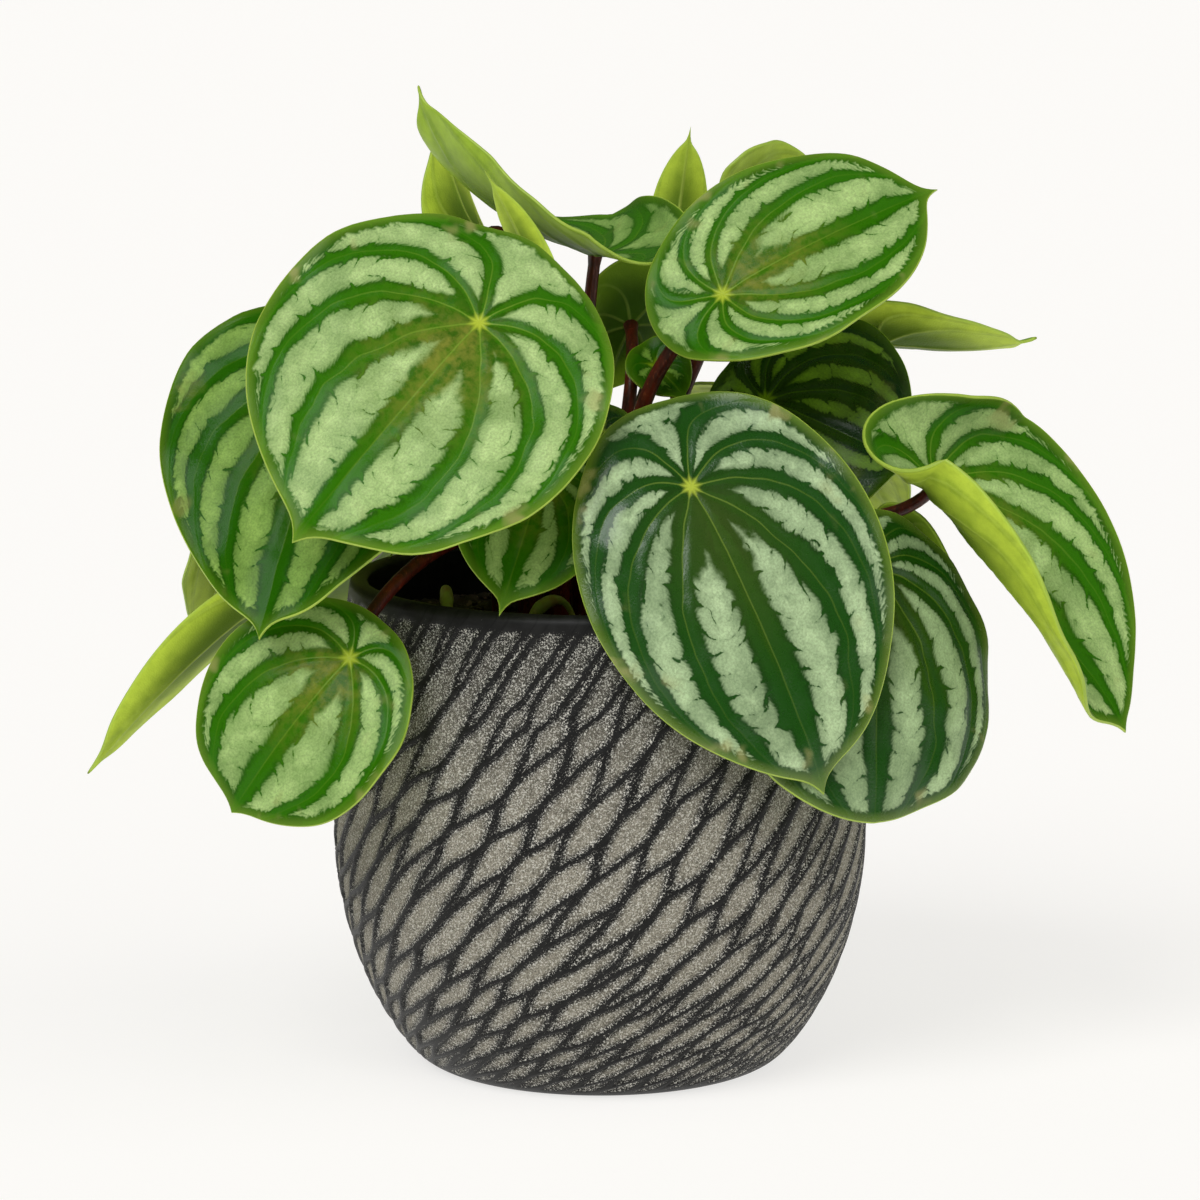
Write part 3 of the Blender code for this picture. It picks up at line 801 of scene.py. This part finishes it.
def make_blade(leaf, pattern, settings, seed, materials):
    """Shape a copy of the flat disc to one leaf, and keep the vein fields for its materials."""
    blade = Blade(leaf)
    mesh = pattern.data.copy()
    flat = read_points(mesh)
    rho = np.hypot(flat[:, 0], flat[:, 1])
    phi = np.arctan2(flat[:, 1], flat[:, 0])
    margin_x, margin_y = blade.outline(phi)
    waver = 1.0 + 0.007 * np.sin(3 * phi + seed) + 0.004 * np.sin(7 * phi + 2.3 * seed)
    x, y = margin_x * rho * waver, margin_y * rho * waver
    count = blade.veins(rho, phi)
    gap = blade.vein_gap(rho, phi)
    edge = blade.to_margin(rho, phi)
    from_vein = np.abs(count - np.round(count)) * gap
    size = leaf.half_width / FULL_GROWN
    quilt = (settings.quilting * TO_MM * size
             * (smooth(0.0, 3.5 * size, from_vein) * smooth(0.12, 0.4, rho) * smooth(0.0, 8.0 * size, edge)))
    crease = -0.35 * size * np.exp(-((from_vein / (1.1 * size)) ** 2)) * smooth(1.0, 0.5, rho)
    on_plane = np.column_stack([x, y, np.full(len(x), 31.0 * seed)])
    swell = wander(on_plane, 17.0, seed) * 0.9 * size * rho + wander(on_plane, 6.0, seed) * 0.18 * size
    ripple = (settings.wave * TO_MM * size * rho**5
              * (np.sin(6 * phi + seed * 1.7) + 0.6 * np.sin(11 * phi + seed * 2.9)))
    thickness = settings.thickness * TO_MM * min(1.0, 0.55 + 0.5 * size)
    lift = quilt + crease + swell + ripple + (flat[:, 2] - 0.5) * thickness
    write_points(mesh, (blade.place(x, y) + blade.faces_at(x, y) * lift[:, None]) * MM)
    write_attribute(mesh, "veins", np.column_stack([count, gap, edge]))
    write_attribute(mesh, "blade", np.column_stack([x, y, np.full(len(x), 17.0 * seed)]))
    write_attribute(mesh, "share", rho)
    write_attribute(mesh, "habit_and_shade", np.tile((leaf.dark, leaf.wide, 0.0), (len(x), 1)))
    for material in materials:
        mesh.materials.append(material)
    name = leaf.name + "_blade"
    finish_piece(place_piece(name, mesh), name, "leaf_" + leaf.tone, leaf.name)


def leaf_fields(add):
    """The sockets that both faces of a blade draw their pattern from, in millimetres."""
    veins = add("vector", attribute_name="veins")
    count, gap, edge = add("x", veins).node.outputs
    blade = add("vector", attribute_name="blade")
    share = add("number", attribute_name="share")
    from_stalk = add("length", add("stretch", blade, (1.0, 1.0, 0.0)))
    swerve = add("noise", blade, 0.085, 1.0)
    swerve = add("multiply_add", swerve, 0.24, -0.12)
    swerve = add("multiply", swerve, add("ramp", count, 0.0, 0.6))
    count = add("add", count, swerve)
    beside = add("pingpong", count, 0.5)
    beside_mm = add("multiply", beside, gap)
    return blade, share, from_stalk, count, gap, edge, beside, beside_mm


def aged_and_shaded(add, skin):
    """The skin's colour darkened and yellowed by the blade's dark value, which stands both for age, older
    blades being darker and yellower, and for painted shade on blades that sit in shadow.
    """
    age_and_shade = add("x", add("vector", attribute_name="habit_and_shade"))
    return add("tint", age_and_shade, skin, colour("#A3C23A"))


SPUR_SPACING = 6.0  # millimetres along a vein
FRINGE_SPACING = 1.15


def leaf_top_material(tone, silver, green, margin, gloss, olive):
    """Upper face of the blade: a smooth, fleshy skin, silver between green veins, with a soft gloss."""
    material, shader, add = new_material(f"watermelon_leaf_{tone}")
    blade, share, from_stalk, count, gap, edge, beside, beside_mm = leaf_fields(add)
    broad = add("noise", blade, 0.06, 2.0)
    mottle = add("noise", blade, 0.32, 3.0, 0.6)
    grain = add("noise", blade, 1.7, 2.0, 0.6)

    # Green spurs run from each vein into the silver, and a fine fringe edges it
    slant = add("multiply_add", beside_mm, -0.9, from_stalk)
    spur = add("multiply", slant, 1.0 / SPUR_SPACING)
    spur = add("multiply_add", broad, 5.0, spur)
    spur = add("multiply_add", mottle, 0.30, spur)
    spur = add("pingpong", spur, 0.5)
    spur = add("ramp", spur, 0.0, 0.42, 1.0, 0.0)
    spur = add("power", spur, 4.0)
    strong = add("ramp", mottle, 0.42, 0.64, 0.02, 0.24)
    spur = add("multiply", spur, strong)
    fringe = add("multiply_add", beside_mm, 0.8, from_stalk)
    fringe = add("multiply", fringe, 1.0 / FRINGE_SPACING)
    fringe = add("multiply_add", mottle, 2.5, fringe)
    fringe = add("pingpong", fringe, 0.5)
    fringe = add("multiply", fringe, 0.7)
    fringe = add("divide", fringe, gap)
    band = add("ramp", share, 0.1, 0.95, 0.20, 0.11)
    band = add("add", band, add("y", add("vector", attribute_name="habit_and_shade")))
    band = add("add", add("ramp", broad, 0.3, 0.7, -0.055, 0.075), band)
    band = add("add", band, add("add", spur, fringe))
    inside = add("subtract", beside, band)
    banded = add("ease", inside, -0.02, 0.065)
    begins = add("ramp", count, 0.5, 4.0, 0.47, 0.45)
    begins = add("multiply_add", beside, -0.42, begins)
    begun = add("subtract", share, begins)
    begun = add("multiply_add", broad, 0.35, begun)
    begun = add("multiply_add", mottle, 0.16, begun)
    begun = add("ease", begun, 0.17, 0.27)
    scallop = add("multiply_add", mottle, -4.0, edge)
    scallop = add("multiply_add", fringe, -14.0, scallop)
    scallop = add("ease", scallop, -0.2, 1.2)
    silvered = add("multiply", banded, begun)
    silvered = add("multiply", silvered, scallop)
    faded = add("noise", blade, 0.09, 2.0, 0.55)
    silvered = add("multiply", silvered, add("ramp", faded, 0.36, 0.56, 0.68, 1.0))

    # Silver skin, with darker grain, hair-fine cracks of green and a greener cast towards the bands
    deeper = add("mix", 0.46, silver, green)
    silver_skin = add("mix", add("ramp", inside, 0.0, 0.22), deeper, silver)
    clouded = add("ramp", mottle, 0.36, 0.64, 0.0, 0.45)
    clouded = add("add", add("ramp", broad, 0.35, 0.65, -0.1, 0.3), clouded)
    silver_skin = add("mix", clouded, silver_skin, deeper)
    crack = add("absolute", add("subtract", mottle, 0.5))
    crack = add("ramp", crack, 0.0, 0.012, 0.22, 0.0)
    silver_skin = add("mix", crack, silver_skin, green)
    speckle = add("ramp", grain, 0.34, 0.62, 0.80, 1.08)
    silver_skin = add("tint", 1.0, silver_skin, speckle)

    # Green skin: darkest beside the silver, lighter along the vein, olive over the stalk, fresh at the rim
    fresh = add("mix", 0.45, green, margin)
    shaded = add("mix", 0.5, green, colour("#0C2602"))
    near = add("ease", inside, -0.10, 0.0)
    near = add("multiply", near, add("ramp", broad, 0.3, 0.7, 0.3, 1.0))
    green_skin = add("mix", near, green, shaded)
    ripe = add("ease", share, 0.15, 0.75, 1.0, 0.0)
    ripe = add("multiply", ripe, add("ramp", mottle, 0.35, 0.65, 0.1, olive))
    ripe = add("multiply", ripe, add("ramp", count, 0.2, 2.6, 1.0, 0.15))
    green_skin = add("mix", ripe, green_skin, colour("#8A8C34"))
    outer = add("ramp", edge, 0.3, 3.0, 0.6, 0.0)
    green_skin = add("mix", outer, green_skin, fresh)
    skin = add("mix", silvered, green_skin, silver_skin)
    scorched = add("ease", faded, 0.60, 0.72, 0.0, 0.6)
    scorched = add("multiply", scorched, add("ramp", edge, 3.0, 12.0, 1.0, 0.0))
    skin = add("mix", scorched, skin, colour("#A3A062"))

    # The veins themselves are hair-fine pale lines that meet in a yellow star over the stalk
    hair = add("ease", beside_mm, 0.08, 0.30, 1.0, 0.0)
    hair = add("multiply", hair, add("ramp", share, 0.0, 0.9, 0.7, 0.06))
    skin = add("mix", hair, skin, fresh)
    star = add("multiply_add", beside_mm, 1.6, from_stalk)
    star = add("ease", star, 1.0, 4.0, 0.95, 0.0)
    skin = add("mix", star, skin, colour("#B4C43A"))
    rim = add("ease", edge, 0.05, 0.40, 0.8, 0.0)
    skin = add("mix", rim, skin, margin)

    rough = add("ramp", silvered, 0.0, 1.0, 0.22, 0.32)
    rough = add("multiply_add", mottle, 0.12, rough)
    sunk = add("ease", beside_mm, 0.0, 0.6, -0.5, 0.0)
    raised = add("add", grain, sunk)
    bump = add("bump", 0.5, 0.00012, raised)
    fill(shader, {"Base Color": aged_and_shaded(add, skin), "Roughness": rough, "IOR": 1.45,
                  "Specular IOR Level": gloss, "Normal": bump})
    return material


def leaf_under_material(tone, under, margin):
    """Underside of the blade: a matt, paler skin with the veins standing out, painted shade towards the stalk
    and a painted glow towards the tip.
    """
    material, shader, add = new_material(f"leaf_underside_{tone}")
    blade, share, *_, edge, beside, beside_mm = leaf_fields(add)
    mottle = add("noise", blade, 0.25, 3.0, 0.6)
    grain = add("noise", blade, 2.0, 1.0)
    darker = add("mix", 0.8, under, colour("#3A6606"))
    paler = add("mix", 0.30, under, colour("#E2EC96"))
    # Painted shade: the underside is darkened towards the stalk, where shade falls under the blade
    shade_near_stalk = add("ease", share, 0.3, 0.95, 1.0, 0.0)
    band = add("ease", beside, 0.10, 0.26, 0.65, 0.0)
    band = add("multiply", band, add("ramp", mottle, 0.3, 0.7, 0.5, 1.2))
    skin = add("mix", shade_near_stalk, under, darker)
    band = add("multiply", band, 0.5)
    skin = add("mix", band, skin, darker)
    skin = add("mix", add("ramp", mottle, 0.35, 0.7, 0.0, 0.3), skin, darker)
    ridge = add("ease", beside_mm, 0.15, 0.6, 1.0, 0.0)
    ridge = add("multiply", ridge, add("ramp", share, 0.2, 0.95, 0.6, 0.08))
    skin = add("mix", ridge, skin, paler)
    rim = add("ease", edge, 0.2, 0.9, 0.7, 0.0)
    skin = add("mix", rim, skin, margin)
    skin = aged_and_shaded(add, skin)
    # Painted glow: the underside gives off light of its own colour towards the tip, standing in for light
    # shining through the blade
    painted_glow = add("ease", share, 0.4, 0.95, 0.0, 0.22)
    raised = add("multiply_add", ridge, 0.8, grain)
    bump = add("bump", 0.5, 0.0002, raised)
    fill(shader, {"Base Color": skin, "Roughness": 0.5, "IOR": 1.45, "Specular IOR Level": 0.3,
                  "Emission Color": skin, "Emission Strength": painted_glow, "Normal": bump})
    return material


def leaf_margin_material(margin):
    """The rim of every blade: thin, translucent flesh that reads as a yellow-green line."""
    material, shader, add = new_material("leaf_margin")
    blade = add("vector", attribute_name="blade")
    patches = add("noise", blade, 0.2, 2.0)
    patches = add("ramp", patches, 0.35, 0.65, 0.0, 0.35)
    skin = add("mix", patches, margin, colour("#7FA22E"))
    fill(shader, {"Base Color": skin, "Roughness": 0.4})
    return material


# ---------------------------------------------------------------- stalks and sprouts

STRAIGHT = 2.0  # millimetres that a stalk runs square to the soil and to the blade
STALK_ROOT = 2.0  # how far a stalk starts under the soil's surface
SPROUT_ROOT = 1.0
UP = Vector((0.0, 0.0, 1.0))


def make_tube(name, knots, radii, material, slot, node):
    """A round tube along a curve, turned into a closed mesh.

    knots are (left handle, point, right handle) in millimetres and radii in millimetres.
    """
    start_piece()
    bpy.ops.curve.primitive_bezier_curve_add()
    piece = bpy.context.object
    data = piece.data
    data.dimensions = "3D"
    data.bevel_depth = MM
    data.bevel_resolution = 6
    data.use_fill_caps = True
    data.resolution_u = 28
    spline = data.splines[0]
    spline.bezier_points.add(len(knots) - 2)
    for knot, (before, at, after), radius in zip(spline.bezier_points, knots, radii):
        knot.handle_left_type = knot.handle_right_type = "FREE"
        knot.handle_left = before * MM
        knot.co = at * MM
        knot.handle_right = after * MM
        knot.radius = radius
    bpy.ops.object.convert(target="MESH")
    piece = bpy.context.object
    edit_all()
    bpy.ops.mesh.remove_doubles(threshold=0.00001)
    face_outwards()
    piece.data.materials.append(material)
    finish_piece(piece, name, slot, node)


def stalk_knots(leaf, settings, thickness):
    """Handles and radii of one stalk: up from the soil, over, and square into the blade."""
    blade = Blade(leaf)
    azimuth, distance = leaf.root
    foot = direction(azimuth) * distance + UP * (soil_top(distance) - STALK_ROOT)
    start = foot + UP * (STRAIGHT + 2.3)
    top = blade.over_stalk() - blade.normal * thickness * 0.6
    end = blade.over_stalk() - blade.normal * (1.5 + STRAIGHT)
    length = (end - start).length
    rise = start + UP * length * leaf.lift
    arrive = end - blade.normal * length * leaf.reach + UP * length * leaf.hang
    third = (start - foot) / 3.0
    last = (top - end) / 3.0
    knots = [
        (foot - third, foot, foot + third),
        (start - third, start, rise),
        (arrive, end, end + last),
        (top - last, top, top + last),
    ]
    foot_radius, end_radius = settings.foot_radius * TO_MM, settings.end_radius * TO_MM
    return knots, [foot_radius * 1.08, foot_radius, end_radius, end_radius * 1.25]


def sprout_knots(sprout):
    """Handles and radii of one sprout, smooth through the points of its hook."""
    azimuth, distance = sprout.foot
    foot = direction(azimuth) * distance + UP * (soil_top(distance) - SPROUT_ROOT)
    lean = direction(sprout.bends)
    points = [foot + (lean * out + UP * up) * sprout.height for out, up, _ in SPROUT_PROFILE]
    knots = []
    for before, point, after in zip([points[0], *points], points, [*points[1:], points[-1]]):
        pull = (after - before) / 6.0
        knots.append((point - pull, point, point + pull))
    return knots, [radius for _, _, radius in SPROUT_PROFILE]


def petiole_material(settings):
    """Skin of a stalk: smooth, juicy and dark red, with a moist gloss and fine paler dashes."""
    material, shader, add = new_material("petiole_red")
    place = add("stretch", add("place"), (TO_MM, TO_MM, TO_MM * 0.3))
    streak = add("noise", place, 0.5, 3.0, 0.6)
    dash = add("noise", place, 2.2, 1.0)
    skin = add("mix", add("ramp", streak, 0.36, 0.62), settings.stalk_brown, settings.stalk_red)
    pale = add("ramp", dash, 0.62, 0.74, 0.0, 0.35)
    skin = add("mix", pale, skin, colour("#A8583A"))
    bump = add("bump", 0.4, 0.0002, streak)
    fill(shader, {"Base Color": skin, "Roughness": 0.36, "IOR": 1.45, "Normal": bump})
    return material


def sprout_material(settings):
    """Skin of a sprout: soft young tissue, pale yellow-green and a little reddish at the foot."""
    material, shader, add = new_material("sprout_green")
    place = add("stretch", add("place"), (TO_MM, TO_MM, TO_MM))
    blush = add("noise", place, 0.3, 2.0)
    skin = add("mix", add("ramp", blush, 0.4, 0.65, 0.0, 0.6), settings.sprout, colour("#8A5A30"))
    fill(shader, {"Base Color": skin, "Roughness": 0.42})
    return material


# ---------------------------------------------------------------- studio

FLOOR_WIDTH = 12.0  # metres
GLOW = 0.745  # light that the paper gives off, so that the floor fades into the room


def paper_material(settings):
    """Matt studio paper, very pale and warm; its fibres show only as a faint unevenness."""
    material, shader, add = new_material("studio_paper")
    place = add("place")
    fibres = add("noise", place, 60.0, 0.0)
    shade = add("ramp", fibres, 0.3, 0.7, 0.0, 0.03)
    skin = add("mix", shade, colour("#9C9A97"), colour("#999794"))
    fill(shader, {"Base Color": skin, "Roughness": 1.0, "Specular IOR Level": 0.0,
                  "Emission Color": settings.paper, "Emission Strength": GLOW})
    return material


def add_light(name, place, spread, strength, tint):
    """A large soft box, far enough off to light the whole floor evenly; spread is its width in degrees."""
    bpy.ops.object.light_add(type="SUN", location=place)
    lamp = bpy.context.object
    lamp.name = name
    lamp.data.angle = math.radians(spread)
    lamp.data.energy = strength
    lamp.data.color = colour(tint)[:3]
    lamp.rotation_euler = (-Vector(place)).to_track_quat("-Z", "Y").to_euler()
    return lamp


def light_room(world, settings):
    """Even light from a white room: full for the camera, dimmer for the piece and dimmest in its gloss."""
    world.use_nodes = True
    add = partial(add_node, world.node_tree)
    light = add("ramp", add("mirrored"), 0.0, 1.0, settings.room, settings.room * 0.4)
    strength = add("ramp", add("seen"), 0.0, 1.0, light, 1.0)
    fill(world.node_tree.nodes["Background"], {"Color": settings.paper, "Strength": strength})


# ---------------------------------------------------------------- operators


class PEPEROMIA_OT_pot(bpy.types.Operator):
    """Turn the pot and carve its net of ribs and pads"""

    bl_idname = "peperomia.pot"
    bl_label = "Pot"

    def execute(self, context):
        settings = context.scene.peperomia_pot
        piece = make_pot_mesh(settings)
        piece.data.materials.append(stoneware_material(settings))
        finish_piece(piece, "pot_stoneware", "stoneware", "pot")
        return {"FINISHED"}


class PEPEROMIA_OT_soil(bpy.types.Operator):
    """Fill the pot with lumpy compost"""

    bl_idname = "peperomia.soil"
    bl_label = "Soil"

    def execute(self, context):
        settings = context.scene.peperomia_growth
        piece = make_soil_mesh()
        add_crumbs(piece, settings.crumbs)
        piece.data.materials.append(compost_material(settings))
        finish_piece(piece, "soil_compost", "soil", "soil")
        return {"FINISHED"}


class PEPEROMIA_OT_leaves(bpy.types.Operator):
    """Shape every blade from a flat disc and give it its skins"""

    bl_idname = "peperomia.leaves"
    bl_label = "Leaves"

    def execute(self, context):
        settings = context.scene.peperomia_leaves
        fine = make_pattern_disc("disc_fine", 128, 34)
        plain = make_pattern_disc("disc_plain", 80, 20)
        margin = leaf_margin_material(settings.margin)
        skins = {}
        for tone, gloss, olive in (("bright", 0.12, 0.8), ("deep", 0.55, 0.12), ("pale", 0.4, 0.3)):
            silver, green, under = (getattr(settings, f"{tone}_{part}")
                                    for part in ("silver", "green", "under"))
            skins[tone] = (leaf_top_material(tone, silver, green, settings.margin, gloss, olive),
                           leaf_under_material(tone, under, settings.margin), margin)
        for seed, leaf in enumerate(LEAVES, 1):
            make_blade(leaf, fine if leaf.half_width > LARGE else plain, settings, seed, skins[leaf.tone])
        for pattern in (fine, plain):
            bpy.data.objects.remove(pattern)
        return {"FINISHED"}


class PEPEROMIA_OT_stalks(bpy.types.Operator):
    """Grow a stalk from the soil to every blade"""

    bl_idname = "peperomia.stalks"
    bl_label = "Stalks"

    def execute(self, context):
        settings = context.scene.peperomia_growth
        thickness = context.scene.peperomia_leaves.thickness * TO_MM
        skin = petiole_material(settings)
        for leaf in LEAVES:
            knots, radii = stalk_knots(leaf, settings, thickness)
            node = leaf.name.replace("leaf", "stalk")
            make_tube(node + "_red", knots, radii, skin, "stalk", node)
        return {"FINISHED"}


class PEPEROMIA_OT_sprouts(bpy.types.Operator):
    """Stand the young sprouts on the soil"""

    bl_idname = "peperomia.sprouts"
    bl_label = "Sprouts"

    def execute(self, context):
        skin = sprout_material(context.scene.peperomia_growth)
        for sprout in SPROUTS:
            knots, radii = sprout_knots(sprout)
            make_tube(sprout.name + "_young", knots, radii, skin, "sprout", sprout.name)
        return {"FINISHED"}


class PEPEROMIA_OT_studio(bpy.types.Operator):
    """Lay the paper, set the soft light and place the camera"""

    bl_idname = "peperomia.studio"
    bl_label = "Studio"

    def execute(self, context):
        settings = context.scene.peperomia_studio
        start_piece()
        bpy.ops.mesh.primitive_plane_add(size=FLOOR_WIDTH)
        paper = bpy.context.object
        paper.name = "studio_floor"
        paper.data.materials.append(paper_material(settings))

        context.scene.world = bpy.data.worlds.new("white_room")
        light_room(context.scene.world, settings)
        add_light("key_softbox", (-0.45, -0.80, 0.95), 36.0, settings.key, "#FDFEFF")
        fill = add_light("fill_softbox", (0.80, -0.55, 0.95), 70.0, settings.fill, "#FFFDF8")
        fill.visible_glossy = False

        bpy.ops.object.camera_add(location=(0.0, -settings.distance, settings.height),
                                  rotation=(math.pi / 2.0 - settings.pitch, 0.0, 0.0))
        camera = bpy.context.object
        camera.data.lens = settings.lens
        camera.data.sensor_width = 36.0
        context.scene.camera = camera
        context.scene.view_settings.view_transform = "Standard"
        return {"FINISHED"}


class PEPEROMIA_PT_panel(bpy.types.Panel):
    """Lists the operators with their settings"""

    bl_idname = "PEPEROMIA_PT_panel"
    bl_label = "Peperomia"
    bl_space_type = "VIEW_3D"
    bl_region_type = "UI"
    bl_category = "Peperomia"

    def draw(self, context):
        for operator in OPERATORS:
            self.layout.operator(operator.bl_idname)
        for name in SETTINGS:
            group = getattr(context.scene, name)
            box = self.layout.box()
            for prop in group.bl_rna.properties:
                if prop.identifier not in ("rna_type", "name"):
                    box.prop(group, prop.identifier)


OPERATORS = (PEPEROMIA_OT_pot, PEPEROMIA_OT_soil, PEPEROMIA_OT_leaves, PEPEROMIA_OT_stalks,
             PEPEROMIA_OT_sprouts, PEPEROMIA_OT_studio)
SETTINGS = {
    "peperomia_pot": PeperomiaPot,
    "peperomia_leaves": PeperomiaLeaves,
    "peperomia_growth": PeperomiaGrowth,
    "peperomia_studio": PeperomiaStudio,
}


def register():
    """Register the classes and hang the settings on the scene."""
    for name, group in SETTINGS.items():
        bpy.utils.register_class(group)
        setattr(bpy.types.Scene, name, bpy.props.PointerProperty(type=group))
    for made in (*OPERATORS, PEPEROMIA_PT_panel):
        bpy.utils.register_class(made)


def unregister():
    """Undo register."""
    for made in reversed((*OPERATORS, PEPEROMIA_PT_panel)):
        bpy.utils.unregister_class(made)
    for name, group in SETTINGS.items():
        delattr(bpy.types.Scene, name)
        bpy.utils.unregister_class(group)


def main():
    """Build the whole scene."""
    register()
    bpy.ops.peperomia.pot()
    bpy.ops.peperomia.soil()
    bpy.ops.peperomia.leaves()
    bpy.ops.peperomia.stalks()
    bpy.ops.peperomia.sprouts()
    bpy.ops.peperomia.studio()


if __name__ == "__main__":
    main()
